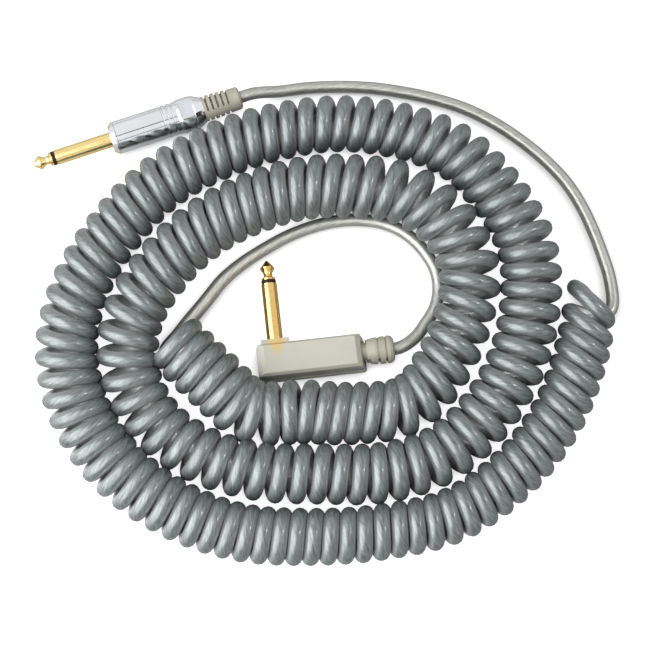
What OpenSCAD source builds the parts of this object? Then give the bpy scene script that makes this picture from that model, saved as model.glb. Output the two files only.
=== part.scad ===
// Curly instrument cable: a straight jack plug with a screwed barrel, a coiled
// cord laid in a flat spiral, and a moulded right-angle jack plug.
// Millimetres, +Z up. z = 0 is the surface that the cable lies on, and the
// origin is under the middle of the box round the two plugs.

/* [Contact pin] */
// Diameter of the sleeve contact
pin_d = 6.35; // [6.2:0.05:6.5]
// Length of the pin from its shoulder to its point
pin_len = 34.5; // [31:0.5:36]
// Length of the tip contact, from the point to the insulating band
head_len = 8.6; // [8:0.1:9.4]
// Largest diameter of the tip contact
head_d = 5.9; // [5.5:0.05:6.1]
// Length of the tip's cone
cone_len = 3.1; // [2.6:0.1:3.4]
// Smallest diameter of the neck behind the cone
neck_d = 3.5; // [3:0.1:4]
// Width of the insulating band
band_w = 1.6; // [1:0.1:2.4]
// Diameter of the insulating band
band_d = 6; // [5.8:0.05:6]
// Diameter of the rod that carries the tip contact
rod_d = 2.3; // [2:0.1:2.6]
// Wall of the insulating tube round the rod
tube_wall = 0.7; // [0.5:0.05:0.9]

/* [Straight plug] */
// Diameter of the barrel
barrel_d = 13.9; // [13.4:0.1:14.2]
// Length of the plug body from the pin's shoulder to the barrel's rear edge
barrel_end = 36.8; // [36:0.2:40]
// Width of the fixed shoulder ring ahead of the barrel
shoulder_w = 2.5; // [2.2:0.1:3]
// Length of the bevel on the shoulder ring
bevel_len = 1.7; // [1:0.1:2]
// Height of the bevel on the shoulder ring
bevel_h = 1.5; // [1:0.1:1.8]
// Diameter of the thread that the barrel screws onto
thread_d = 10.4; // [10:0.1:10.6]
// Length of that thread
thread_len = 7; // [6:0.5:9]
// Diameter of the flared rear of the barrel
flare_d = 14.8; // [14.4:0.1:15.2]
// Length of the flared rear of the barrel
flare_len = 7.4; // [6:0.2:8]
// Width of the flat on the flare
flat_w = 8; // [6:0.5:9]
// Length of the flat on the flare
flat_len = 6.1; // [4:0.1:7]
// Number of grip grooves in the barrel
groove_count = 3; // [1:1:5]
// Distance from one grip groove to the next
groove_pitch = 2.15; // [1.6:0.05:2.4]
// Width of a grip groove
groove_w = 0.9; // [0.5:0.05:1.2]
// Depth of a grip groove
groove_depth = 0.35; // [0.2:0.05:0.5]
// Length of the tapered collar behind the barrel
collar_len = 4.2; // [4:0.1:5]
// Diameter of the collar's small end
collar_end_d = 10.7; // [10.4:0.1:11]
// Length of the keyway in the collar
key_len = 3.2; // [2:0.1:3.6]
// Width of the keyway in the collar
key_w = 1.9; // [1:0.1:3]
// Turn of the keyway round the barrel, from straight up toward the near side
key_turn = 35; // [20:5:50]
// Wall of the insulating liner in the barrel
liner_wall = 0.4; // [0.3:0.05:0.5]
// Turn of the plug about +Z, from +X
plug_turn = 19.6; // [18:0.2:21]

/* [Right-angle plug] */
// Length of the housing along its foot
house_len = 44; // [43:0.5:47]
// Depth of the housing, along the pin
house_depth = 14.4; // [14:0.2:16]
// Thickness of the housing
house_h = 13; // [12.8:0.1:14]
// Distance from the pin's axis to the closed end
house_back = 8; // [7:0.2:9]
// Bevel round the top face
house_bevel = 1.5; // [1:0.1:2]
// Height of the foot's rim, which stands proud of the sides
rim_h = 3.4; // [2.6:0.2:4.2]
// How far the sides stand back from that rim
rim_step = 0.5; // [0.3:0.05:0.7]
// Lean of the cord end over the full thickness
end_lean = 2.3; // [1:0.1:3]
// Width of the square collar round the pin
seat_w = 11.5; // [9:0.5:12]
// Height of that collar
seat_h = 1.3; // [0.6:0.1:2]
// Thickness of the flange that holds the pin in the housing
flange_t = 1; // [0.8:0.1:1.4]
// Turn of the plug about +Z, from +X
house_turn = 6.6; // [5:0.2:8]

/* [Strain reliefs] */
// Largest diameter of the straight plug's strain relief
boot_d = 11; // [10.6:0.1:11.4]
// Diameter of its end collar
boot_end_d = 9.8; // [9:0.1:10.4]
// Length of it outside the collar
boot_len = 16.5; // [16:0.5:20]
// Distance from one rib to the next
rib_pitch = 2.3; // [2:0.05:2.5]
// Width of a slot between ribs
slot_w = 0.95; // [0.6:0.05:1.2]
// Number of slots
slot_count = 5; // [3:1:6]
// Diameter of the core inside the ribs
core_d = 7.2; // [6.9:0.1:7.6]
// Width of the rails that join the ribs
rail_w = 3.4; // [2:0.1:4]
// Diameter of the right-angle plug's strain relief
elbow_d = 11.4; // [10.8:0.1:11.8]
// Length of it outside the housing
elbow_len = 11.2; // [10.5:0.1:12]
// Depth of the grooves round it
elbow_groove = 0.5; // [0.3:0.05:0.8]

/* [Cord] */
// Diameter of the uncoiled leads
lead_d = 5.2; // [4.8:0.05:5.4]
// Outside diameter of the coils
coil_d = 23.2; // [22.6:0.1:23.4]
// How much larger the coils are along the inner turn
coil_swell = 1.6; // [1:0.1:1.8]
// Diameter of the insulation round the centre conductor
wire_d = 2.6; // [2.2:0.1:3]
// Diameter of the centre conductor
conductor_d = 1; // [0.6:0.1:1.2]

/* [Terminals] */
// Thickness of the solder terminals
lug_t = 0.5; // [0.4:0.05:0.8]
// Diameter of the tip terminal's eye
lug_d = 4.8; // [4.2:0.1:5.2]
// Thickness of the sleeve terminals
clamp_t = 0.6; // [0.4:0.05:0.8]
// Diameter of the sleeve terminals' eye
clamp_d = 8.4; // [7.6:0.1:8.6]
// Thickness of the straight plug's rear insulating washer
washer_t = 1.2; // [0.8:0.1:2]
// Thickness of the insulator in the housing
elbow_washer_t = 1.4; // [1:0.1:2]
// Diameter of the rear insulating washers
washer_d = 7; // [6:0.1:7.2]
// Thickness of the jaws that hold the cord
jaw_t = 0.9; // [0.7:0.05:1.1]
// Length of those jaws
jaw_len = 4; // [3:0.5:5]

/* [Fits] */
// Gap all round between pieces that are assembled tight
tight = 0.02; // [0.01:0.005:0.03]
// Radial gap of the barrel on its thread and round its liner
running = 0.06; // [0.04:0.01:0.09]
// Gap between pieces that move apart along the plug
seat_gap = 0.3; // [0.2:0.05:0.4]
// Radial gap between the turning strain relief and the cord
cord_gap = 0.15; // [0.12:0.01:0.25]
// Gap under the straight plug, which the cord holds just off the table
lift = 0.1; // [0.05:0.05:0.2]

/* [Hidden] */
round_fn = 64;
past = 1;                                   // how far a cutter passes the face it cuts

// shared by both pins
pin_r = pin_d / 2;
tube_r = rod_d / 2 + tight + tube_wall;
rivet_t = 0.5;
rivet_d = 3.4;
head_ring = 0.9;
ring_step = 0.3;

// straight plug, along its own axis from the pin's shoulder
plug_at = [-42.3, 40.3, flare_d / 2 + lift];
barrel_from = shoulder_w + 0.05;
bore_r = thread_d / 2 + running;
thread_end = shoulder_w + thread_len;
lug_from = thread_end + clamp_t + washer_t;
liner_r = bore_r - running;
liner_from = thread_end + seat_gap;
liner_to = barrel_end + 2.4;
flange_from = liner_to + seat_gap;           // rear flange that the collar traps
collar_lip = 0.6;                           // web of the collar behind that flange
neck_wall = 0.8;                            // wall of the strain relief through the web
collar_end = barrel_end + collar_len;
boot_end = collar_end + boot_len;
flat_z = sqrt(pow(flare_d / 2, 2) - pow(flat_w / 2, 2));
groove_first = barrel_end - flare_len - 1.5 - (groove_count - 1) * groove_pitch;
clamp_reach = 27;
straight_cord_end = 21;
strap_r = clamp_d / 2;

// right-angle plug, from the pin's axis on its far face
house_at = [27.9, -48.8, 0];
axis_z = house_h / 2;
axis_y = -house_depth / 2;
house_to = house_len - house_back;
elbow_lug_y = -axis_y - conductor_d / 2 - lug_t;
flange_y = elbow_lug_y - elbow_washer_t - clamp_t;
house_wall = flange_y - flange_t;           // wall that the pin passes through
shank_r = pin_r + 0.35;                     // stretch of the sleeve held in the moulding
cavity_wall = 3;
cavity_h = clamp_d + 0.4;
tab_reach = 10;
cavity_to = house_to - 5.5;
angled_cord_end = cavity_to - 5.5;
angled_jaw = cavity_to - 5;
elbow_from = house_to + seat_gap;

// cord
sides = 12;
rest = cos(180 / sides);                    // share of the radius at a flat of the tube
lead_r = lead_d / 2;
// middle line of the coils, from the outer end to the inner end
COIL = [[157.5, -26], [152, -54], [140.5, -81], [122, -103], [98, -119], [70.5, -126.5], [42, -128],
        [14, -125.5], [-12, -115.5], [-34, -99.5], [-51, -76], [-57.5, -50], [-53, -24], [-39.5, 0],
        [-20, 19.5], [2, 33], [27, 42], [53, 45.5], [79, 42.5], [102.5, 33], [120.5, 15], [130.5, -9],
        [131.5, -34], [125, -58], [112, -79], [93.5, -95], [71, -102.5], [47, -103.5], [23, -102],
        [0, -94.5], [-19, -80.5], [-30.5, -61], [-30.5, -38], [-19.5, -18], [-3, -1.5], [17, 10],
        [38, 16], [60, 17.5], [81.5, 13.5], [99, 0], [107, -20], [105.5, -41], [96, -58.5], [80, -72.5],
        [60, -78.5], [39, -79], [19.5, -76], [3.5, -65.5], [-9.5, -52.5]];
COIL_START = [0.24, -0.97, 0];              // direction of travel at the outer end
COIL_STOP = [-0.7, 0.71, 0];                // direction of travel at the inner end
// the straight plug's lead, after the plug, to the outer end of the coils
OUTER_LEAD = [[29, 63, 5], [40, 65.5, 3.4], [53, 66.6, 2.7], [67, 66.2, 2.7], [81, 64.2, 2.7], [95, 61, 2.7],
              [108, 56.5, 2.7], [119.7, 50.3, 2.7], [131, 42.2, 2.7], [141.3, 32.9, 2.7], [150, 22.6, 2.7],
              [156.3, 11.2, 2.7], [161, -1, 2.7], [164, -11, 2.7], [165.4, -18, 3.2]];
OUTER_JOIN = [7, 5.9];                      // its end on the coils' face: distance to the left, and height
// the right-angle plug's lead, from the inner end of the coils to the plug
INNER_LEAD = [[-17.6, -55, 3.5], [-17.6, -50.5, 2.8], [-14.6, -46, 2.7], [-9.4, -39, 2.7], [-1, -29, 2.7],
              [6.5, -20.5, 2.7], [14, -13.4, 2.7], [22.5, -7, 2.7], [32, -1.4, 2.7], [42, 2.5, 2.7],
              [53, 4.8, 2.7], [64, 4.8, 2.7], [74, 2.8, 2.7], [82, -2, 2.7], [88.8, -8.2, 2.7],
              [92.7, -16, 2.7], [94.2, -25, 2.9], [92.6, -33.5, 3.6], [89, -40.6, 4.4], [84.6, -46.6, 5.5]];
INNER_JOIN = [8, 4.4];

// ---- helpers ----

function unit(v) = v / norm(v);
// distance along a list of points, up to point i
function along(p, i) = i == 0 ? 0 : along(p, i - 1) + norm(p[i] - p[i - 1]);
// a place in a plug's own frame, as a place in the part's frame
function placed(at, turn, p) =
    at + [p[0] * cos(turn) - p[1] * sin(turn), p[0] * sin(turn) + p[1] * cos(turn), p[2]];
// level direction to the left of travel
function across(d) = [-d[1], d[0], 0];

// solid of revolution about +X from a list of [distance, radius]
module turned(profile)
    rotate([0, 90, 0])
        rotate_extrude($fn = round_fn)
            polygon([for (p = profile) [p[1], p[0]]]);

module bar(from, to, r)
    translate([from, 0, 0])
        rotate([0, 90, 0])
            cylinder(h = to - from, r = r, $fn = round_fn);

module tube(from, to, outer, inner)
    difference() {
        bar(from, to, outer);
        bar(from - past, to + past, inner);
    }

module straight_frame() translate(plug_at) rotate([0, 0, plug_turn]) children();
module straight_pin_frame() straight_frame() rotate([0, 0, 180]) children();
module angled_frame() translate(house_at) rotate([0, 0, house_turn]) children();
module angled_pin_frame() angled_frame() translate([0, seat_h, axis_z]) rotate([0, 0, 90]) children();

// polyhedron swept along points, with a radius at each and a direction at each end
module swept(points, radii, first, last) {
    n = len(points);
    heading = [for (i = [0 : n - 1])
        i == 0 ? unit(first) : i == n - 1 ? unit(last)
               : unit(unit(points[i] - points[i - 1]) + unit(points[i + 1] - points[i]))];
    rings = [for (i = [0 : n - 1])
        let (side = unit(cross([0, 0, 1], heading[i])), up = cross(heading[i], side))
        for (k = [0 : sides - 1])
            let (a = (k + 0.5) * 360 / sides)
            points[i] + radii[i] * (cos(a) * side + sin(a) * up)];
    walls = [for (i = [0 : n - 2]) for (k = [0 : sides - 1])
        let (a = i * sides + k, b = i * sides + (k + 1) % sides)
        each [[a, a + sides, b], [b, a + sides, b + sides]]];
    near_end = [[for (k = [0 : sides - 1]) k]];
    far_end = [[for (k = [sides - 1 : -1 : 0]) (n - 1) * sides + k]];
    polyhedron(points = rings, faces = concat(walls, near_end, far_end), convexity = 10);
}

// ---- contact pins: x = 0 is the shoulder and +X runs out to the point ----

// tip contact on its rod, with the rod riveted over at its far end
module pin_tip(rod_back) {
    point_r = 0.45;
    head_r = head_d / 2;
    neck_r = neck_d / 2;
    land = 0.5;
    scoop = head_len - cone_len - land - head_ring - 2 * ring_step - 1.1;
    scoop_from = cone_len + land;
    scoop_to = scoop_from + scoop;
    ring_from = head_len - head_ring;
    outline = concat(
        [[pin_len, 0], [pin_len, point_r], [pin_len - cone_len, head_r]],
        [for (i = [0 : 8])
            [pin_len - scoop_from - scoop * i / 8, head_r - (head_r - neck_r) * sin(90 * i / 8)]],
        [[pin_len - ring_from + 2 * ring_step, neck_r + 0.15], [pin_len - ring_from, head_r - 0.1],
         [pin_len - head_len, head_r - 0.1], [pin_len - head_len, 0]]);
    color("gold") union() {
        turned(outline);
        bar(-rod_back, pin_len - head_len + past, rod_d / 2);
        bar(-rod_back, rivet_t - rod_back, rivet_d / 2);
    }
}

// band behind the tip contact, with the tube that insulates the rod
module pin_insulator(tube_back) {
    band_from = pin_len - head_len - band_w;
    color([0.08, 0.07, 0.06]) difference() {
        union() {
            bar(band_from, pin_len - head_len, band_d / 2);
            bar(-tube_back, band_from + past, tube_r);
        }
        bar(-tube_back - past, pin_len + past, rod_d / 2 + tight);
    }
}

// sleeve contact's shank; the children are what carries it behind the shoulder
module pin_sleeve(back)
    color("gold") difference() {
        union() {
            bar(-past / 2, pin_len - head_len - band_w, pin_r);
            children();
        }
        bar(-back - past, pin_len, tube_r + tight);
    }

// round washer or eye with a hole
module eye(from, to, outer_d, hole_r) tube(from, to, outer_d / 2, hole_r);

// jaws round a cord along +X, open on the side away from the strap
module jaws(from, length, open_turn)
    difference() {
        bar(from, from + length, lead_r + tight + jaw_t);
        bar(from - past, from + length + past, lead_r + tight);
        rotate([open_turn, 0, 0])
            translate([from - past, -lead_r * 0.7, 0])
                cube([length + 2 * past, lead_r * 1.4, lead_r * 3]);
    }

// ---- straight plug ----

module straight_tip() straight_pin_frame() pin_tip(lug_from + lug_t + rivet_t);

module straight_tip_insulator() straight_pin_frame() pin_insulator(thread_end + clamp_t);

module straight_sleeve()
    straight_pin_frame() pin_sleeve(thread_end) {
        turned([[0, 0], [0, barrel_d / 2 - bevel_h], [-bevel_len, barrel_d / 2], [-shoulder_w, barrel_d / 2],
                [-shoulder_w, 0]]);
        bar(-thread_end, -shoulder_w + past / 2, thread_d / 2);
    }

module straight_rear_insulator()
    color([0.12, 0.1, 0.08]) straight_frame()
        eye(thread_end + clamp_t, lug_from, washer_d, rod_d / 2 + tight);

// eye round the rod, with a joggled tab that meets the conductor on the axis
module straight_tip_lug() {
    foot = rivet_d / 2 + 0.2;
    rise = foot - conductor_d / 2;
    tab_end = straight_cord_end - 3;
    color("silver") straight_frame() {
        eye(lug_from, lug_from + lug_t, lug_d, rod_d / 2 + tight);
        rotate([90, 0, 0])
            linear_extrude(height = 2.6, center = true)
                polygon([[lug_from, -foot - lug_t], [lug_from + 1.6, -foot - lug_t],
                         [lug_from + 1.6 + rise, -foot - lug_t + rise], [tab_end, -foot - lug_t + rise],
                         [tab_end, -foot + rise], [lug_from + 1.4 + rise, -foot + rise],
                         [lug_from + 1.4, -foot], [lug_from, -foot]]);
    }
}

// eye against the sleeve, a curved strap under the wires, and jaws on the cord
module straight_cord_clamp()
    color("silver") straight_frame() {
        eye(thread_end, thread_end + clamp_t, clamp_d, tube_r + tight);
        intersection() {
            tube(thread_end, clamp_reach, strap_r, strap_r - clamp_t);
            translate([0, -1.8, -clamp_d])
                cube([clamp_reach + past, 3.6, clamp_d]);
        }
        jaws(clamp_reach - jaw_len, jaw_len, 0);
        translate([clamp_reach - jaw_len, -1, -strap_r + clamp_t / 2])
            cube([jaw_len, 2, strap_r - clamp_t / 2 - lead_r - tight - jaw_t / 2]);
    }

// stripped end of the cord: insulation, then the bare conductor on its tab
module straight_wire()
    color("ivory") straight_frame() {
        bar(straight_cord_end - 2.8, straight_cord_end, wire_d / 2);
        bar(lug_from + 3.6, straight_cord_end - 2.8, conductor_d / 2);
    }

module straight_liner()
    color([0.1, 0.1, 0.1]) straight_frame() tube(liner_from, liner_to, liner_r, liner_r - liner_wall);

// barrel: grip grooves, flared rear, flat on top, threaded bore
module straight_barrel() {
    r = barrel_d / 2;
    flare_r = flare_d / 2;
    flare_from = barrel_end - flare_len;
    edge = 0.25;
    grooves = [for (i = [0 : groove_count - 1])
        let (at = groove_first + i * groove_pitch)
        each [[at - groove_w / 2, r], [at - groove_w / 2 + 0.2, r - groove_depth],
              [at + groove_w / 2 - 0.2, r - groove_depth], [at + groove_w / 2, r]]];
    flare = [for (i = [0 : 6]) [flare_from + 2 * i / 6, r + (flare_r - r) * (1 - cos(30 * i)) / 2]];
    outline = concat([[barrel_from, 0], [barrel_from, r - edge], [barrel_from + edge, r]], grooves, flare,
                     [[barrel_end - 2 * edge, flare_r], [barrel_end, flare_r - edge], [barrel_end, 0]]);
    color("lightgrey") straight_frame() difference() {
        turned(outline);
        bar(barrel_from - past, barrel_end + past, bore_r);
        translate([barrel_end - flat_len, -flat_w, flat_z])
            cube([flat_len + past, 2 * flat_w, flare_d]);
    }
}

// tapered collar that holds the strain relief, with a keyway through its wall
module straight_collar() {
    color("lightgrey") straight_frame() difference() {
        turned([[barrel_end, 0], [barrel_end, flare_d / 2 - 0.25], [barrel_end + 0.4, flare_d / 2 - 0.15],
                [collar_end - 0.4, collar_end_d / 2 + 0.2], [collar_end, collar_end_d / 2],
                [collar_end, 0]]);
        bar(barrel_end - past, collar_end - collar_lip, bore_r);
        bar(barrel_end - past, collar_end + past, core_d / 2 + neck_wall + tight);
        rotate([key_turn, 0, 0])
            translate([barrel_end + 0.1, -key_w / 2, 0])
                cube([key_len, key_w, flare_d]);
    }
}

// ring-shaped slot with two rails left across it
module relief_slot(at, width, outer_r, roll)
    difference() {
        bar(at - width / 2, at + width / 2, outer_r + past);
        bar(at - width, at + width, core_d / 2);
        rotate([roll, 0, 0])
            translate([at - width, -rail_w / 2, -outer_r - 2 * past])
                cube([2 * width, rail_w, 2 * outer_r + 4 * past]);
    }

// ribbed strain relief: inner flange, neck in the collar, ribs, end collar
module straight_boot() {
    root_r = boot_d / 2;
    end_r = boot_end_d / 2;
    first = collar_end + 1.6;
    rail_roll = 60;                         // the rails lie to the lower left and the upper right
    color([0.72, 0.70, 0.65]) straight_frame() difference() {
        union() {
            bar(flange_from, collar_end - collar_lip, bore_r - running);
            bar(flange_from, collar_end + past / 2, core_d / 2 + neck_wall);
            turned([[collar_end, 0], [collar_end, root_r - 0.2], [first + rib_pitch, root_r],
                    [first + slot_count * rib_pitch, end_r], [boot_end - 1, end_r],
                    [boot_end - 0.3, end_r - 0.4], [boot_end, end_r - 1], [boot_end, 0]]);
        }
        for (i = [0 : slot_count - 1])
            relief_slot(first + i * rib_pitch, slot_w, root_r, rail_roll);
        bar(flange_from - past, boot_end + past, lead_r + cord_gap);
    }
}

// ---- right-angle plug: x along the housing, y along the pin, z = 0 is its foot ----

module angled_tip() angled_pin_frame() pin_tip(seat_h + elbow_lug_y + lug_t + rivet_t);

module angled_tip_insulator() angled_pin_frame() pin_insulator(seat_h + flange_y + clamp_t);

module angled_sleeve()
    angled_pin_frame() pin_sleeve(seat_h + flange_y) {
        bar(-seat_h - flange_y, 0, shank_r);
        bar(-seat_h - flange_y, -seat_h - house_wall, clamp_d / 2);
    }

module angled_rear_insulator()
    color([0.12, 0.1, 0.08]) angled_pin_frame()
        eye(-seat_h - elbow_lug_y, -seat_h - flange_y - clamp_t, washer_d, rod_d / 2 + tight);

module angled_tip_lug()
    color("silver") angled_pin_frame() {
        eye(-seat_h - elbow_lug_y - lug_t, -seat_h - elbow_lug_y, lug_d, rod_d / 2 + tight);
        translate([-seat_h - elbow_lug_y - lug_t, -tab_reach, -1.3])
            cube([lug_t, tab_reach - lug_d / 2 + 0.4, 2.6]);
    }

module angled_cord_clamp()
    color("silver") angled_frame() translate([0, 0, axis_z]) {
        rotate([0, 0, 90])
            eye(-flange_y - clamp_t, -flange_y, clamp_d, tube_r + tight);
        difference() {
            translate([clamp_d / 2 - 0.4, -flange_y - clamp_t, -1.5])
                cube([angled_jaw + jaw_len - clamp_d / 2 + 0.4, clamp_t, 3]);
            translate([0, axis_y, 0])
                bar(angled_cord_end - past, cavity_to + past, lead_r + tight);
        }
        translate([0, axis_y, 0])
            jaws(angled_jaw, jaw_len, 90);
    }

module angled_wire()
    color("ivory") angled_frame() translate([0, axis_y, axis_z]) {
        bar(angled_cord_end - 4, angled_cord_end, wire_d / 2);
        bar(rivet_d / 2 + 1.5, angled_cord_end - 4, conductor_d / 2);
    }

// moulded housing: three outlines intersected, a collar round the pin, a cavity
module angled_housing() {
    b = house_bevel;
    back = -house_back;
    foot = 0.6;
    lean_at = end_lean * (house_h - b) / house_h;
    color([0.82, 0.80, 0.73]) angled_frame() difference() {
        union() {
            intersection() {
                rotate([90, 0, 0])
                    linear_extrude(height = house_depth)
                        polygon([[back, foot], [back + foot, 0], [house_to - foot, 0], [house_to, foot],
                                 [house_to - lean_at, house_h - b], [house_to - lean_at - 2, house_h],
                                 [back + 2 * b, house_h], [back, house_h - b]]);
                rotate([90, 0, 90])
                    translate([0, 0, back])
                        linear_extrude(height = house_len)
                            polygon([[0, foot], [0, rim_h], [-rim_step, rim_h + rim_step],
                                     [-rim_step, house_h - b], [-b, house_h], [b - house_depth, house_h],
                                     [rim_step - house_depth, house_h - b],
                                     [rim_step - house_depth, rim_h + rim_step], [-house_depth, rim_h],
                                     [-house_depth, 2 * foot], [1 - house_depth, 0], [-foot, 0]]);
                linear_extrude(height = house_h)
                    polygon([[back, -2.2], [back + 0.7, -0.7], [back + 2.2, 0], [house_to - 1, 0], [house_to, -1],
                             [house_to, 1 - house_depth], [house_to - 1, -house_depth],
                             [back + 1.6, -house_depth], [back + 0.5, 0.5 - house_depth],
                             [back, 1.6 - house_depth]]);
            }
            translate([-seat_w / 2, -rim_step - past, b])
                cube([seat_w, seat_h + rim_step + past, house_h - 2 * b]);
        }
        translate([back + cavity_wall, cavity_wall - house_depth, axis_z - cavity_h / 2])
            cube([cavity_to - back - cavity_wall, house_depth - cavity_wall - house_wall, cavity_h]);
        translate([0, 0, axis_z]) {
            rotate([0, 0, 90])
                bar(-house_wall - past, seat_h + past, shank_r + tight);
            translate([0, axis_y, 0]) {
                bar(cavity_to - past, house_to + past, lead_r + cord_gap);
                bar(cavity_to + 1, house_to + past, core_d / 2 + tight);
                bar(house_to - 1.6, house_to + past, core_d / 2 + 0.9);
            }
        }
    }
}

// strain relief of the right-angle plug: grooved round, toothed along its near side
// and underneath, between two side rails, and the cord's inner side is notched
module angled_boot() {
    r = elbow_d / 2;
    tip = elbow_from + elbow_len;
    rail_y = core_d / 2 + 0.1;
    NOTCHES = [[-0.2, 1.6], [4.3, 1], [7.5, 0.8]];      // start and width, from the housing on
    color([0.72, 0.70, 0.65]) angled_frame() translate([0, axis_y, axis_z]) difference() {
        union() {
            turned([[elbow_from, 0], [elbow_from, r - 0.9], [elbow_from + 3, r - 0.2], [tip - 1.8, r],
                    [tip - 0.7, r - 0.4], [tip, r - 1.4], [tip, 0]]);
            bar(cavity_to + 1 + tight, elbow_from + past, core_d / 2);
        }
        for (notch = NOTCHES) {
            translate([elbow_from + notch[0], -r - past, -r])
                cube([notch[1], past + r - rail_y - 0.3, 2 * r]);
            difference() {
                bar(elbow_from + notch[0], elbow_from + notch[0] + notch[1], r + past);
                bar(elbow_from - 1, tip, r - elbow_groove);
            }
        }
        bar(cavity_to, tip + past, lead_r + tight);
    }
}

// ---- cord ----

module straight_lead() {
    inside = placed(plug_at, plug_turn, [straight_cord_end, 0, 0]);
    outside = placed(plug_at, plug_turn, [boot_end + 6.5, 0, 0]);
    d = unit(COIL_START);
    coil_face = [COIL[0][0], COIL[0][1], 0] + OUTER_JOIN[0] * across(d) + [0, 0, OUTER_JOIN[1]];
    points = concat([inside, outside], OUTER_LEAD, [coil_face]);
    color([0.72, 0.72, 0.69])
        swept(points, [for (p = points) lead_r], outside - inside, COIL_START);
}

// one closed body of the coils' outside diameter
module curly_cord() {
    count = len(COIL);
    total = along(COIL, count - 1);
    radii = [for (i = [0 : count - 1])
        let (share = along(COIL, i) / total)
        (coil_d + coil_swell * exp(-pow((share - 0.84) / 0.14, 2))) / 2];
    points = [for (i = [0 : count - 1]) [COIL[i][0], COIL[i][1], radii[i] * rest]];
    color([0.42, 0.43, 0.44]) swept(points, radii, COIL_START, COIL_STOP);
}

module angled_lead() {
    outside = placed(house_at, house_turn, [elbow_from + elbow_len + 3, axis_y, axis_z]);
    inside = placed(house_at, house_turn, [angled_cord_end, axis_y, axis_z]);
    last = COIL[len(COIL) - 1];
    coil_face = [last[0], last[1], 0] + INNER_JOIN[0] * across(unit(COIL_STOP)) + [0, 0, INNER_JOIN[1]];
    points = concat([coil_face], INNER_LEAD, [outside, inside]);
    color([0.72, 0.72, 0.69])
        swept(points, [for (p = points) lead_r], COIL_STOP, inside - outside);
}

straight_tip();
straight_tip_insulator();
straight_sleeve();
straight_rear_insulator();
straight_tip_lug();
straight_cord_clamp();
straight_wire();
straight_liner();
straight_barrel();
straight_collar();
straight_boot();
angled_tip();
angled_tip_insulator();
angled_sleeve();
angled_rear_insulator();
angled_tip_lug();
angled_cord_clamp();
angled_wire();
angled_housing();
angled_boot();
straight_lead();
curly_cord();
angled_lead();
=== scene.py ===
import math

import bpy
import numpy as np
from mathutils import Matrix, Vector


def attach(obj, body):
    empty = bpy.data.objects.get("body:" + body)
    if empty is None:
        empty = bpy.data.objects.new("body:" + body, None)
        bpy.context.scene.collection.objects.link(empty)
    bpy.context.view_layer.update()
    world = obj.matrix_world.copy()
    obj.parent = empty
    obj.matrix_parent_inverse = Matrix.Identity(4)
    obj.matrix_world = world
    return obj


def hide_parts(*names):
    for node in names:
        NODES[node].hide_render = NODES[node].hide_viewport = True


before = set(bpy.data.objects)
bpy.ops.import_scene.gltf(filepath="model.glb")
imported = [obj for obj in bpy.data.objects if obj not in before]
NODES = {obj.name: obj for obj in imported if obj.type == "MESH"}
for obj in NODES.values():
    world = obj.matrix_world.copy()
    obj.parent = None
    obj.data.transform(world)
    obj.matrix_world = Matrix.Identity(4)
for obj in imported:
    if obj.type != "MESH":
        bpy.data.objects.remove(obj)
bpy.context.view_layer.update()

MM = 0.001
TAU = 2 * math.pi

# where each plug's own frame stands, in mm, and its turn about +Z, in degrees
PLUG_AT, PLUG_TURN = (-42.3, 40.3, 7.5), 19.6
HOUSE_AT, HOUSE_TURN = (27.9, -48.8, 0), 6.6


# ---------------------------------------------------------------- camera ----

LOOKED_AT = np.array([48.0, -42.0, 12.0]) * MM
CAMERA_AWAY = 560 * MM
CAMERA_HEIGHT = math.radians(75)
LENS, SENSOR = 76.8, 36


def make_camera():
    """Perspective camera, 560 mm from the point it looks at and 75 degrees above the table, on the -Y
    side."""
    lens = bpy.data.cameras.new("camera")
    lens.lens, lens.sensor_width = LENS, SENSOR
    lens.clip_start, lens.clip_end = 0.01, 20
    camera = bpy.data.objects.new("camera", lens)
    bpy.context.scene.collection.objects.link(camera)
    back = np.array([0, -math.cos(CAMERA_HEIGHT), math.sin(CAMERA_HEIGHT)])
    camera.location = LOOKED_AT + back * CAMERA_AWAY
    camera.rotation_euler = (math.pi / 2 - CAMERA_HEIGHT, 0, 0)
    bpy.context.scene.camera = camera


make_camera()


# ------------------------------------------------------------- materials ----

def new_material(name, **sockets):
    """Principled material; sockets give its shader's constants by name."""
    material = bpy.data.materials.new(name)
    material.use_nodes = True
    shader = material.node_tree.nodes["Principled BSDF"]
    for socket, value in sockets.items():
        socket = shader.inputs[socket.replace("_", " ")]
        socket.default_value = (*value, 1) if socket.type == "RGBA" else value
    return material


def wired(material, kind, links=(), **settings):
    """Adds a node to the material or world, sets its properties and its inputs by name or number, and joins
    the outputs given."""
    node = material.node_tree.nodes.new(kind)
    for key, value in settings.items():
        setattr(node, key, value)
    for socket, value in dict(links).items():
        if hasattr(value, "is_output"):
            material.node_tree.links.new(value, node.inputs[socket])
        else:
            node.inputs[socket].default_value = value
    return node


def place(material, scale=(1, 1, 1), turn=0):
    """Object coordinates scaled along X, Y and Z, and then turned about Z. A stretched pattern keeps its
    direction along those axes, whatever the turn."""
    where = wired(material, "ShaderNodeTexCoord").outputs["Object"]
    moved = wired(material, "ShaderNodeMapping", {0: where, "Rotation": (0, 0, turn), "Scale": scale},
                  vector_type="POINT")
    return moved.outputs[0]


def noise(material, where, scale, detail=3.0, roughness=0.5):
    """Cloudy number, 0.5 on average; the scale is how many blotches fit along one unit of the place."""
    return wired(material, "ShaderNodeTexNoise", {"Vector": where, "Scale": scale, "Detail": detail,
                                                  "Roughness": roughness}).outputs["Fac"]


def mapped(material, value, start, stop, low=0.0, high=1.0, **settings):
    """A number from low to high as the value goes from start to stop, and level beyond them."""
    ends = {"Value": value, "From Min": start, "From Max": stop, "To Min": low, "To Max": high}
    return wired(material, "ShaderNodeMapRange", ends, **settings).outputs[0]


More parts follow.
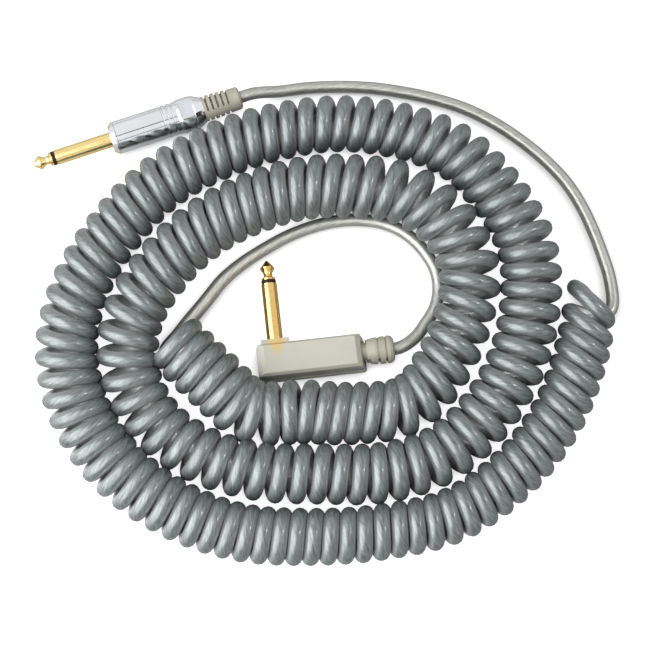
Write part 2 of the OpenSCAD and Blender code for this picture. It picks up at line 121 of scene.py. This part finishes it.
def between(material, amount, low, high):
    """A number from low to high as the amount goes from 0 to 1."""
    return mapped(material, amount, 0, 1, low, high)


def maths(material, operation, *values):
    """Result of one operation on numbers or sockets."""
    return wired(material, "ShaderNodeMath", dict(enumerate(values)), operation=operation).outputs[0]


def blended(material, amount, a, b):
    """Two colours, or sockets, mixed by the amount."""
    colours = {number: value if hasattr(value, "is_output") else (*value, 1)
               for number, value in ((6, a), (7, b))}
    return wired(material, "ShaderNodeMix", {0: amount, **colours}, data_type="RGBA").outputs[2]


def raised(material, height, strength, distance):
    """Bump from a height, on the shader's normal."""
    bump = wired(material, "ShaderNodeBump", {"Height": height, "Strength": strength, "Distance": distance})
    link(material, bump.outputs[0], "Normal")


def link(material, output, socket):
    """Joins an output to one of the material's shader's inputs."""
    material.node_tree.links.new(output, material.node_tree.nodes["Principled BSDF"].inputs[socket])


# ------------------------------------------------------------- mesh tools ----

def unit(v):
    """Vectors divided by their own lengths."""
    return v / np.linalg.norm(v, axis=-1, keepdims=True)


def grid_faces(rows, columns):
    """Quads of a grid of points whose rows are closed rings."""
    a = np.arange((rows - 1) * columns).reshape(rows - 1, columns)
    b = np.roll(a, -1, axis=1)
    return np.stack([a, b, b + columns, a + columns], axis=-1).reshape(-1, 4)


def give_attribute(mesh, name, values):
    """One number, or one vector, at each vertex."""
    values = np.asarray(values, np.float32)
    kind, key = ("FLOAT_VECTOR", "vector") if values.ndim == 2 else ("FLOAT", "value")
    mesh.attributes.new(name, kind, "POINT").data.foreach_set(key, values.ravel())


def eased(x, low, high):
    """0 below low, 1 above high, and a cosine's half wave between."""
    return 0.5 - 0.5 * np.cos(np.pi * np.clip((x - low) / (high - low), 0, 1))


def smooth_curve(x, stations, values):
    """Cubic through the stations' values, with each station's slope set by its neighbours."""
    stations, values = np.asarray(stations, float), np.asarray(values, float)
    slopes = np.gradient(values, stations)
    i = np.clip(np.searchsorted(stations, x, side="right") - 1, 0, len(stations) - 2)
    gap = stations[i + 1] - stations[i]
    t = (x - stations[i]) / gap
    return ((1 + 2 * t) * (1 - t) ** 2 * values[i] + t * (1 - t) ** 2 * gap * slopes[i]
            + t * t * (3 - 2 * t) * values[i + 1] - t * t * (1 - t) * gap * slopes[i + 1])


def curve_through(points, step):
    """Smooth line through the points, each coordinate a cubic of the distance along the chords, with a
    point every step."""
    points = np.asarray(points, float)
    along = np.r_[0, np.cumsum(np.linalg.norm(np.diff(points, axis=0), axis=1))]
    at = np.linspace(0, along[-1], int(np.ceil(along[-1] / step)) + 1)
    return np.stack([smooth_curve(at, along, column) for column in points.T], axis=1)


def arc_length(line):
    """Distance along the line to each of its points: the chords' lengths added up."""
    return np.r_[0, np.cumsum(np.linalg.norm(np.diff(line, axis=0), axis=1))]


# -------------------------------------------------------------------- cord ----

# middle line of the coils, from the outer end to the inner end
COIL = [[157, -26], [151, -53.5], [139.5, -80.5], [121.5, -102.5], [98, -118.5], [70.5, -125], [42, -127],
        [14, -125], [-12, -115.5], [-34, -99.5], [-50, -76], [-55.7, -50], [-51, -25], [-38, -1.3],
        [-20, 19], [2, 32.5], [27, 41.5], [53, 45.5], [79, 42.3], [102.5, 32.7], [119.3, 14.2], [130.6, -9],
        [131, -34], [124.5, -58], [111.5, -79], [93.2, -95], [71, -102], [47, -102.5], [23, -101.5],
        [-0.5, -95], [-19.8, -81.3], [-30.3, -61.3], [-29.5, -38.5], [-18.5, -18.5], [-2.5, -2],
        [17.5, 9.5], [38, 16], [60, 17], [81.5, 13.5], [99, 0], [107, -20], [103.4, -40.2], [95.4, -58.3],
        [81, -74.8], [60, -78.4], [39, -77.9], [18.8, -77.6], [4, -65.3], [-9.3, -52.7], [-14.3, -47.8]]
# the uncoiled lead from the straight plug to the coils, and the one from the coils to the right-angle plug
OUTER_LEAD = [[29, 63.7, 4.6], [40, 65.9, 3.1], [53, 66.7, 2.7], [67, 66.2, 2.7], [81, 64.2, 2.7],
              [95, 61, 2.7], [108, 56.5, 2.7], [119.7, 50.3, 2.7], [131, 42.2, 2.7], [141.3, 32.9, 2.7],
              [150, 22.6, 2.7], [156.3, 11.2, 2.7], [161, -1, 2.7], [164, -11, 2.7], [165.5, -16.5, 2.7],
              [166.6, -24, 2.7], [166.9, -31, 2.8], [166.2, -34.5, 2.8], [163.6, -35.8, 2.8],
              [161.5, -35.5, 2.8]]
INNER_LEAD = [[-17.6, -55, 3.5], [-18, -50.5, 3.2], [-14.3, -46.6, 3.1], [-8.9, -39.3, 3.1],
              [-1, -29.2, 3.1], [6, -20, 3.1], [13.7, -13.1, 3], [22.5, -7, 2.9], [32, -1.4, 2.8],
              [42, 2.8, 2.7], [52, 5.4, 2.7], [62, 6.1, 2.7], [71, 5, 2.7], [78, 2.4, 2.7],
              [84.5, -2.2, 2.7], [90, -8.6, 2.7], [93.9, -16, 2.7], [95, -24, 2.8], [93.2, -32.5, 3.5],
              [89.3, -39.2, 4.2], [84.6, -45.6, 5.3]]
# distance along the coils' middle line, in mm, at which each of these turns stands on top
TURNS = [0, 1, 2, 10, 20, 30, 40, 50, 60, 70, 80, 85, 90, 95, 100, 105, 110, 115, 120, 125, 130, 135, 140,
         145, 150, 154]
REACHED = [7.2, 16.8, 23.8, 80.6, 150, 216, 288, 366, 441, 517.5, 598.7, 639.5, 680.5, 719, 759, 801, 845,
           884.2, 919, 955.7, 1001, 1045.7, 1085.3, 1118.5, 1153.8, 1181.8]
# how far the turns lean forward at their outer end, in degrees, and where along the coils
LEAN_AT = [0, 8, 16, 24, 40, 80, 140, 190, 240, 285, 320, 400, 480, 540, 600, 660, 720, 800, 860, 920, 980,
           1040, 1080, 1140, 1190]
LEAN = [26, 25, 17, 12, 8, 1, -2, -4, -10, -4, 7, 3, -1, -4, -11, -7, -3, -7, 9, 3, 2, 0, 9, -9, -10]
# how much wider than COIL_R the turns are, in mm, and where along the coils
SWELL_AT = [0, 200, 250, 300, 350, 400, 430, 465, 520, 600, 640, 700, 780, 830, 890, 950, 1010, 1050, 1090,
            1120, 1150, 1190]
SWELL = [0, 0, 1, 1.2, 0.9, 0.8, 0.9, 0.4, 0.7, 1.2, 0.8, 0.6, 0.4, 1.2, 1.5, 1.8, 1.2, 0.8, 0.9, 1.4, 1.8,
         1.8]
WIRE_R = 3.25               # the coiled cord's radius
LEAD_R = 2.6                # the uncoiled leads' radius
COIL_R = 11.6               # radius of the coils outside
TOPPLE = 0.268              # how far the turns' tops lie over towards -Y, for each mm of height
FIRST_TURN, LAST_TURN = -0.45, 154.3
FINE_STEP = 0.5             # distance between the points of the coils' middle line
RING_STEP = 1.8             # distance between the cord's rings
CORD_SIDES = 14
# how far the change from lead to coiled cord reaches from a join, away from the coils and into them
JOIN_OUTSIDE, JOIN_INSIDE = 14, 8
TAIL = 0.4                  # share of that change that the inner lead keeps next to the coils
TAIL_FROM, TAIL_TO = 40, 95             # distance past the coils over which it loses that share
SEAM_TURN = 20              # distance past the coils over which the strands' seam turns down
# the stretch softened at each join: how far past the coils its middle lies, how far from there it is softened
# in full, and how far at all
OUTER_SOFT, INNER_SOFT = (10, 14, 34), (4, 8, 26)
SOFTENINGS = 6
STRAND_SLANT = math.radians(18)         # angle between the strands and the cord
STRAND_R, STRAND_WIND = 3, 0.12         # radius of the strands' pattern, and its turn for each mm, in radians
# where the coiled cord's sides get painted light that lifts the shade in the seams: toward the coils' axis,
# by its cosine, and toward the next turn, by its sine
AXIS_SIDE, TURN_SIDE, TURN_SHARE = (0.2, 0.8), (0.65, 1), 0.8
# points of the cord in each plug: along the plug, and in the right-angle one also across it and up
PLUG_STATIONS, HOUSE_STATIONS = (21, 36, 50, 57, 62), (49, 44, 36, 25)
HOUSE_CORD = (-7.2, 6.5)


def coil_points():
    """Ring centres of the coiled stretch, and the way from its axis to each. Turn number T stands at a
    distance S(T) along the middle line, and its angle is T times a full turn. The centre is the middle
    line's point, plus the radius times the sine sideways and the cosine upwards: sideways is turned forward
    by the lean, and upwards is tipped along the line, over towards -Y. The radius is COIL_R less the cord's
    own, plus the swell there."""
    line = curve_through(COIL, FINE_STEP)
    along = arc_length(line)
    turns = np.arange(FIRST_TURN, LAST_TURN, RING_STEP / (TAU * (COIL_R - WIRE_R)))
    at = smooth_curve(turns, TURNS, REACHED)
    middle, ahead, behind = (np.stack([np.interp(there, along, line[:, k]) for k in (0, 1)], axis=1)
                             for there in (at, at + 1, at - 1))
    forward = unit(ahead - behind)
    outward = np.stack([-forward[:, 1], forward[:, 0]], axis=1)
    radius = COIL_R - WIRE_R + smooth_curve(at, SWELL_AT, SWELL)
    lean = np.radians(smooth_curve(at, LEAN_AT, LEAN))[:, None]
    angle = TAU * turns
    level = outward * np.cos(lean) + forward * np.sin(lean)
    spoke = unit(np.c_[forward * (-TOPPLE * forward[:, 1:]), np.ones(len(at))])
    spoke = spoke * np.cos(angle)[:, None] + np.c_[level, 0 * at] * np.sin(angle)[:, None]
    return np.c_[middle, WIRE_R + radius] + radius[:, None] * spoke, spoke


def in_plug(at, turn, point):
    """A point of a plug's own frame, in the part's frame: turned about +Z, then moved to where the plug
    stands."""
    c, s = math.cos(math.radians(turn)), math.sin(math.radians(turn))
    return [at[0] + point[0] * c - point[1] * s, at[1] + point[0] * s + point[1] * c, at[2] + point[2]]


def near_to(along, middle, full, none):
    """1 within the full distance of the middle, and 0 beyond the other."""
    return 1 - eased(np.abs(along - middle), full, none)


def softened(line, near):
    """Line whose rings have moved toward the middle of their two neighbours, by half the weight given for
    each, a few times over."""
    for _ in range(SOFTENINGS):
        middle = line.copy()
        middle[1:-1] = (line[:-2] + line[2:]) / 2
        line = line + 0.5 * near[:, None] * (middle - line)
    return line


def cord_line():
    """Ring centres of the whole cord from the straight plug to the right-angle one, in mm, the direction
    that the strands' seam faces, and how far each ring is coiled, from 0 to 1."""
    coil, spoke = coil_points()
    first = [in_plug(PLUG_AT, PLUG_TURN, (x, 0, 0)) for x in PLUG_STATIONS] + OUTER_LEAD
    last = INNER_LEAD + [in_plug(HOUSE_AT, HOUSE_TURN, (x, *HOUSE_CORD)) for x in HOUSE_STATIONS]
    lead_in = curve_through(first + coil[:3].tolist(), RING_STEP)
    lead_out = curve_through(coil[-3:].tolist() + last, RING_STEP)
    join_in = np.linalg.norm(lead_in - coil[0], axis=1).argmin()
    join_out = np.linalg.norm(lead_out - coil[-1], axis=1).argmin()
    line = np.vstack([lead_in[:join_in], coil, lead_out[join_out + 1:]])
    down = np.array([0, 0, -1.0])
    facing = np.vstack([np.tile(down, (join_in, 1)), spoke, np.tile(down, (len(lead_out) - join_out - 1, 1))])
    along = arc_length(line)
    start, stop = along[join_in], along[join_in + len(coil) - 1]
    by_the_joins = np.maximum(near_to(along, start - OUTER_SOFT[0], *OUTER_SOFT[1:]),
                              near_to(along, stop + INNER_SOFT[0], *INNER_SOFT[1:]))
    line = softened(line, by_the_joins)
    coiled = (eased(along, start - JOIN_OUTSIDE, start + JOIN_INSIDE)
              * (1 - eased(along, stop - JOIN_INSIDE, stop + JOIN_OUTSIDE)))
    after = eased(along, stop, stop + SEAM_TURN)[:, None]
    facing = facing[-1] * after + (1 - after) * np.where(along[:, None] > stop, spoke[-1], facing)
    return line, facing, coiled


def make_cord(material):
    """Tube round the cord's line: each ring lies across the line's direction, with the radius eased from the
    leads' to the coiled cord's. Attributes hold the place along and round the cord, the strands' direction,
    how far the cord is coiled, and how much painted light its sides get to lift the shade in the seams: most
    toward the coils' axis, and less toward the next turns."""
    line, facing, coiled = cord_line()
    tangent = unit(np.gradient(line, axis=0))
    across = unit(facing - (facing * tangent).sum(1, keepdims=True) * tangent)
    side = np.cross(tangent, across)
    along = arc_length(line)
    past_coils = along - along[coiled > 0.99][-1]
    tail = TAIL * (past_coils > 0) * (1 - eased(past_coils, TAIL_FROM, TAIL_TO))
    radius = LEAD_R + (WIRE_R - LEAD_R) * np.maximum(coiled, tail)
    angle = TAU * np.arange(CORD_SIDES) / CORD_SIDES
    normal = across[:, None] * np.cos(angle)[None, :, None] + side[:, None] * np.sin(angle)[None, :, None]
    points = line[:, None] + radius[:, None, None] * normal
    faces = grid_faces(len(line), CORD_SIDES).tolist()
    last_ring = (len(line) - 1) * CORD_SIDES
    faces += [list(range(CORD_SIDES - 1, -1, -1)), list(range(last_ring, last_ring + CORD_SIDES))]
    mesh = bpy.data.meshes.new("cord")
    mesh.from_pydata(points.reshape(-1, 3) * MM, [], faces)
    mesh.polygons.foreach_set("use_smooth", np.ones(len(mesh.polygons), bool))
    mesh.materials.append(material)
    rings = np.repeat(np.arange(len(line)), CORD_SIDES)
    round_it = np.tile(angle, len(line))
    wind = round_it + STRAND_WIND * along[rings]
    strand = np.stack([along[rings], STRAND_R * np.cos(wind), STRAND_R * np.sin(wind)], axis=1)
    give_attribute(mesh, "strand", strand)
    around = np.cross(tangent[:, None], normal)
    slant = math.cos(STRAND_SLANT) * tangent[:, None] + math.sin(STRAND_SLANT) * around
    give_attribute(mesh, "run", slant.reshape(-1, 3))
    give_attribute(mesh, "coiled", coiled[rings])
    # painted light in the seams: how much each side of the coiled cord is paled, to lift the shade between
    # turns
    beside = np.maximum(eased(-np.cos(round_it), *AXIS_SIDE),
                        TURN_SHARE * eased(np.abs(np.sin(round_it)), *TURN_SIDE))
    give_attribute(mesh, "painted_seam_light", coiled[rings] * beside)
    piece = bpy.data.objects.new("cord", mesh)
    bpy.context.scene.collection.objects.link(piece)
    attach(piece, "cable")
    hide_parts("straight_lead", "curly_cord", "angled_lead")


LEAD_DARK, LEAD_PALE = (0.26, 0.26, 0.24), (0.6, 0.6, 0.56)
BRAID_DARK, BRAID_PALE = (0.05, 0.06, 0.062), (0.27, 0.295, 0.295)
BRAID_BROAD = (0.28, 0.3, 0.29)         # broad soft streaks of the braid
BRAID_PAINTED_LIGHT = (0.62, 0.64, 0.63)         # painted light on the sides toward the coils' axis and the next turns, lifting the shade in the seams
BRAID_STRETCH = (0.22, 1.2, 1.2)        # how fine the strands' pattern is along the cord, and round it


def jacket_material():
    """Clear jacket over a tinned braid: fine strands run round the cord at a shallow angle, the sides toward
    the coils' axis and the next turns get painted light that lifts the shade in the seams, and the sheen
    stretches along the cord."""
    material = new_material("jacketed_braid", Metallic=0.7, Specular_Tint=(0.5, 0.52, 0.53), IOR=1.35,
                            Anisotropic=0.6, Coat_Weight=0.5, Coat_Roughness=0.1)
    run = wired(material, "ShaderNodeAttribute", attribute_name="run").outputs["Vector"]
    strand = wired(material, "ShaderNodeAttribute", attribute_name="strand").outputs["Vector"]
    coiled = wired(material, "ShaderNodeAttribute", attribute_name="coiled").outputs["Fac"]
    painted_seam_light = wired(material, "ShaderNodeAttribute", attribute_name="painted_seam_light").outputs["Fac"]
    link(material, run, "Tangent")
    lay = wired(material, "ShaderNodeMapping", {0: strand, "Scale": BRAID_STRETCH}, vector_type="POINT")
    fine = noise(material, lay.outputs[0], scale=1.1, detail=5, roughness=0.75)
    broad = noise(material, lay.outputs[0], scale=0.35, detail=2)
    lead = blended(material, between(material, fine, low=-0.6, high=1.6), LEAD_DARK, LEAD_PALE)
    coil = blended(material, between(material, fine, low=-0.8, high=1.8), BRAID_DARK, BRAID_PALE)
    coil = blended(material, between(material, broad, low=0, high=0.3), coil, BRAID_BROAD)
    # painted light on the coiled cord's sides, lifting the shade in the seams between turns
    coil = blended(material, painted_seam_light, coil, BRAID_PAINTED_LIGHT)
    link(material, blended(material, coiled, lead, coil), "Base Color")
    link(material, between(material, fine, low=0.37, high=0.48), "Roughness")
    raised(material, fine, strength=0.3, distance=0.00012)
    return material


make_cord(jacket_material())


# ------------------------------------------------------------------ stage ----

FLOOR_REACH, FLOOR_DROP = 8.0, 0.0002   # half the floor's side, and its depth under the part, in metres
FLOOR_GREY = 0.5            # the floor's own colour
FLOOR_LIFT = 0.9            # how much it glows where it is seen
FLOOR_SHADE = 0.004         # how near to the floor a piece darkens it, in metres
WORLD_LIGHT = 0.3           # strength of the even light on the object
FLAG_AWAY = 1.2             # distance of the dark strips, in metres
SQUARE = ((-1, -1), (1, -1), (1, 1), (-1, 1))


def make_floor():
    """Large plain pale floor that looks white from the camera, but not right beside what stands on it, and
    white in what mirrors it from farther away."""
    mesh = bpy.data.meshes.new("floor")
    corners = [(x * FLOOR_REACH, y * FLOOR_REACH, -FLOOR_DROP) for x, y in SQUARE]
    mesh.from_pydata(corners, [], [(0, 1, 2, 3)])
    material = new_material("floor_white", Base_Color=(FLOOR_GREY, FLOOR_GREY, FLOOR_GREY), Roughness=0.9,
                            Specular_IOR_Level=0.1)
    path = wired(material, "ShaderNodeLightPath").outputs
    where = wired(material, "ShaderNodeNewGeometry").outputs["Position"]
    away = wired(material, "ShaderNodeVectorMath", {0: where, 1: LOOKED_AT}, operation="DISTANCE")
    far = mapped(material, away.outputs["Value"], start=0.15, stop=0.5)
    shade = wired(material, "ShaderNodeAmbientOcclusion", {"Distance": FLOOR_SHADE}, samples=8)
    mirrored = maths(material, "MAXIMUM", path["Is Glossy Ray"], path["Is Transmission Ray"])
    seen = maths(material, "ADD", maths(material, "MULTIPLY", path["Is Camera Ray"], shade.outputs["AO"]),
                 maths(material, "MULTIPLY", mirrored, far))
    glow = wired(material, "ShaderNodeEmission", {"Strength": maths(material, "MULTIPLY", seen, FLOOR_LIFT)})
    nodes = material.node_tree.nodes
    shader = nodes["Principled BSDF"]
    both = wired(material, "ShaderNodeAddShader", {0: shader.outputs[0], 1: glow.outputs[0]})
    material.node_tree.links.new(both.outputs[0], nodes["Material Output"].inputs["Surface"])
    mesh.materials.append(material)
    floor = bpy.data.objects.new("floor", mesh)
    bpy.context.scene.collection.objects.link(floor)


def make_light(name, direction, away, size, power):
    """Round area lamp that looks at the middle of the part from a direction; away and size are in metres."""
    lamp = bpy.data.lights.new(name, "AREA")
    lamp.shape, lamp.size, lamp.energy = "DISK", size, power
    light = bpy.data.objects.new(name, lamp)
    bpy.context.scene.collection.objects.link(light)
    direction = Vector(direction).normalized()
    light.location = Vector(LOOKED_AT) + direction * away
    light.rotation_euler = (-direction).to_track_quat("-Z", "Y").to_euler()


def make_world():
    """Even light on the object, and a white surround in what mirrors it."""
    world = bpy.data.worlds.new("world")
    bpy.context.scene.world = world
    world.use_nodes = True
    path = wired(world, "ShaderNodeLightPath").outputs
    mirrored = maths(world, "MAXIMUM", path["Is Glossy Ray"], path["Is Transmission Ray"])
    seen = maths(world, "MAXIMUM", path["Is Camera Ray"], mirrored)
    toward = wired(world, "ShaderNodeTexCoord").outputs["Generated"]
    up = wired(world, "ShaderNodeSeparateXYZ", {0: toward}).outputs["Z"]
    sky = mapped(world, up, start=-0.05, stop=0.4, low=0.5, interpolation_type="SMOOTHSTEP")
    white = maths(world, "MAXIMUM", sky, path["Is Camera Ray"])
    background = world.node_tree.nodes["Background"]
    world.node_tree.links.new(between(world, seen, WORLD_LIGHT, white), background.inputs["Strength"])
    background.inputs["Color"].default_value = (1, 1, 1, 1)


def make_flag(name, tilt, width):
    """Dark strip 2 m long, high over the part, parallel to the straight plug and tilted aside from upright
    by some degrees, seen only in what mirrors it."""
    run = unit(np.array([math.cos(math.radians(PLUG_TURN)), math.sin(math.radians(PLUG_TURN)), 0]))
    aside = np.array([-run[1], run[0], 0])
    lean = math.radians(tilt)
    middle = LOOKED_AT + FLAG_AWAY * (aside * math.sin(lean) + np.array([0, 0, math.cos(lean)]))
    across = aside * math.cos(lean) - np.array([0, 0, math.sin(lean)])
    corners = [middle + u * run + v * across * width / 2 for u, v in SQUARE]
    mesh = bpy.data.meshes.new(name)
    mesh.from_pydata([c.tolist() for c in corners], [], [(0, 1, 2, 3)])
    mesh.materials.append(new_material(name, Base_Color=(0.02, 0.02, 0.02), Roughness=0.9))
    flag = bpy.data.objects.new(name, mesh)
    bpy.context.scene.collection.objects.link(flag)
    flag.visible_camera = flag.visible_diffuse = flag.visible_shadow = False


make_floor()
make_world()
make_light("key", (-0.74, -0.3, 0.6), away=0.5, size=0.9, power=6.7)
make_light("right", (0.66, 0.05, 0.75), away=0.8, size=0.12, power=1)
make_flag("flag_top", tilt=-9, width=0.11)
make_flag("flag_front", tilt=-46.5, width=0.08)

bpy.context.scene.view_settings.view_transform = "Standard"


# ---------------------------------------------------------- solid finishes ----

CHROME_DARK, CHROME_PALE = (0.70, 0.72, 0.745), (0.84, 0.855, 0.88)
SATIN_DARK, SATIN_PALE = (0.50, 0.52, 0.55), (0.60, 0.62, 0.65)
SATIN_ROUGH = 0.32          # how much rougher the flat is than the rest
TIN_DARK, TIN_PALE = (0.55, 0.55, 0.52), (0.8, 0.8, 0.76)
# how fine a pattern is along X, Y and Z: the lines drawn on the pins, which run along X, the marks turned
# on the barrel, which lie across X, and the fibre of what insulates
PIN_LINES, TURNING_MARKS, FIBRE = (20, 400, 400), (900, 40, 40), (1, 1, 5)
FLARE_R, FLAT_W = 7.4, 8    # radius of the barrel's flared rear, and the width of the flat on it
# height of that flat, and how near to it a point counts as on the flat, in metres
FLAT_Z = (PLUG_AT[2] + math.sqrt(FLARE_R ** 2 - (FLAT_W / 2) ** 2)) * MM
FLAT_WITHIN = 0.00002
GOLD_CLOUD, GOLD_LINE = (0.62, 0.36, 0.09), (1, 0.88, 0.5)
GOLD_SEEN = (0.66, 0.46, 0.16)          # the gold's colour through the housing
SHARP = 0.00005             # length over which the gold turns to chrome, in metres
# middle of the gold wedge that shows through the housing, and its half width and half depth, in metres
WEDGE_AT, WEDGE_HALF = (0.0284, -0.0487, 0), (0.0045, 0.0072, 1)


def along_plug(material, at, turn):
    """Distance along a plug's axis, in metres, from its own zero toward the cord."""
    c, s = math.cos(math.radians(turn)), math.sin(math.radians(turn))
    where = wired(material, "ShaderNodeTexCoord").outputs["Object"]
    lined = wired(material, "ShaderNodeVectorMath", {0: where, 1: (c, s, 0)}, operation="DOT_PRODUCT")
    zero = (at[0] * c + at[1] * s) * MM
    return maths(material, "SUBTRACT", lined.outputs["Value"], zero)


def gold_plate(name, colour, lines, turn, edges, shoulder_from=None):
    """Polished gold plate with fine drawn lines along X and a faint cloudiness. What lies behind the
    shoulder's front, where its distance is given, is chrome."""
    material = new_material(name, Metallic=1.0, Specular_Tint=edges, Coat_Weight=0.05)
    drawn = noise(material, place(material, PIN_LINES, -math.radians(turn)), scale=3)
    cloud = noise(material, place(material), scale=160)
    warm = blended(material, between(material, cloud, low=0, high=0.5), colour, GOLD_CLOUD)
    plate = blended(material, between(material, drawn, low=0, high=lines), warm, GOLD_LINE)
    if shoulder_from is not None:
        along = along_plug(material, PLUG_AT, PLUG_TURN)
        behind = mapped(material, along, shoulder_from, shoulder_from + SHARP)
        plate = blended(material, behind, plate, blended(material, cloud, CHROME_DARK, CHROME_PALE))
    link(material, plate, "Base Color")
    link(material, between(material, drawn, low=0.12, high=0.26), "Roughness")
    raised(material, drawn, strength=0.12, distance=0.00004)
    return material


def chrome():
    """Bright turned chrome with very fine turning marks across X and a faint haze. The barrel's flat is
    satin."""
    material = new_material("bright_chrome", Metallic=1.0, Specular_Tint=(1, 1, 1))
    turned = noise(material, place(material, TURNING_MARKS, -math.radians(PLUG_TURN)), scale=2, detail=2)
    haze = noise(material, place(material), scale=90, detail=4)
    where = wired(material, "ShaderNodeTexCoord").outputs["Object"]
    up = wired(material, "ShaderNodeSeparateXYZ", {0: where}).outputs["Z"]
    on_flat = maths(material, "COMPARE", up, FLAT_Z, FLAT_WITHIN)
    bright = blended(material, haze, CHROME_DARK, CHROME_PALE)
    satin = blended(material, haze, SATIN_DARK, SATIN_PALE)
    link(material, blended(material, on_flat, bright, satin), "Base Color")
    polish = between(material, haze, low=0.05, high=0.16)
    link(material, maths(material, "MULTIPLY_ADD", on_flat, SATIN_ROUGH, polish), "Roughness")
    raised(material, turned, strength=0.06, distance=0.00003)
    return material


def moulding(name, dark, pale, rough, grain, thickness, pin_shows=False):
    """Moulded, slightly translucent plastic with soft mottling and a fine matt grain; the gold behind the
    pin's foot can show through it as a wedge."""
    material = new_material(name, IOR=1.5, Subsurface_Weight=0.35, Subsurface_Scale=thickness,
                            Subsurface_Radius=(1.0, 0.9, 0.7))
    mottle = noise(material, place(material), scale=120)
    spots = noise(material, place(material), scale=grain, detail=2)
    plastic = blended(material, mottle, dark, pale)
    if pin_shows:
        where = wired(material, "ShaderNodeTexCoord").outputs["Object"]
        wedge_frame = {0: where, "Location": WEDGE_AT, "Rotation": (0, 0, math.radians(HOUSE_TURN)),
                       "Scale": WEDGE_HALF}
        wedge = wired(material, "ShaderNodeMapping", wedge_frame, vector_type="TEXTURE").outputs[0]
        wedge = wired(material, "ShaderNodeVectorMath", {0: wedge}, operation="ABSOLUTE").outputs["Vector"]
        sides = {0: wedge, 1: (1, 1, 0)}
        wedge = wired(material, "ShaderNodeVectorMath", sides, operation="DOT_PRODUCT").outputs["Value"]
        shown = mapped(material, wedge, start=0.5, stop=1.1, low=0.85, high=0)
        plastic = blended(material, shown, plastic, GOLD_SEEN)
    link(material, plastic, "Base Color")
    link(material, between(material, spots, low=rough - 0.05, high=rough + 0.1), "Roughness")
    raised(material, spots, strength=0.15, distance=0.00005)
    return material


def insulating(name, dark, pale, rough, ior=1.5):
    """Plain insulating moulding or board with a faint fibre."""
    material = new_material(name, IOR=ior)
    fibre = noise(material, place(material, FIBRE), scale=700)
    link(material, blended(material, fibre, dark, pale), "Base Color")
    link(material, between(material, fibre, low=rough - 0.05, high=rough + 0.12), "Roughness")
    raised(material, fibre, strength=0.1, distance=0.00003)
    return material


def tinned():
    """Stamped sheet with a soft, slightly uneven tin."""
    material = new_material("tinned", Metallic=1.0)
    cloud = noise(material, place(material), scale=500, detail=4)
    link(material, blended(material, cloud, TIN_DARK, TIN_PALE), "Base Color")
    link(material, between(material, cloud, low=0.25, high=0.45), "Roughness")
    raised(material, cloud, strength=0.15, distance=0.00005)
    return material


def finish(material, *names):
    """Gives the pieces of those names the material and no other."""
    for name in names:
        NODES[name].data.materials.clear()
        NODES[name].data.materials.append(material)


finish(gold_plate("gold_straight", (0.88, 0.68, 0.29), lines=0.5, turn=PLUG_TURN, edges=(0.9, 0.75, 0.4),
                  shoulder_from=0), "straight_tip", "straight_sleeve")
finish(gold_plate("gold_angled", (0.74, 0.44, 0.12), lines=0.35, turn=HOUSE_TURN, edges=(0.4, 0.25, 0.08)),
       "angled_tip", "angled_sleeve")
finish(insulating("band_moulding", (0.012, 0.008, 0.006), (0.03, 0.018, 0.012), rough=0.35, ior=1.25),
       "straight_tip_insulator", "angled_tip_insulator")
finish(insulating("pressed_board", (0.06, 0.035, 0.02), (0.11, 0.07, 0.04), rough=0.6),
       "straight_rear_insulator", "angled_rear_insulator")
finish(tinned(), "straight_tip_lug", "straight_cord_clamp", "angled_tip_lug", "angled_cord_clamp")
finish(insulating("wire_insulation", (0.62, 0.60, 0.52), (0.75, 0.73, 0.64), rough=0.45),
       "straight_wire", "angled_wire")
finish(insulating("liner_sheet", (0.012, 0.012, 0.013), (0.03, 0.03, 0.03), rough=0.5), "straight_liner")
finish(chrome(), "straight_barrel", "straight_collar")
finish(moulding("boot_moulding", (0.36, 0.345, 0.28), (0.47, 0.455, 0.38), rough=0.42, grain=900,
                thickness=0.0008), "straight_boot", "angled_boot")
finish(moulding("housing_moulding", (0.47, 0.465, 0.4), (0.54, 0.53, 0.46), rough=0.3, grain=700,
                thickness=0.0015, pin_shows=True), "angled_housing")
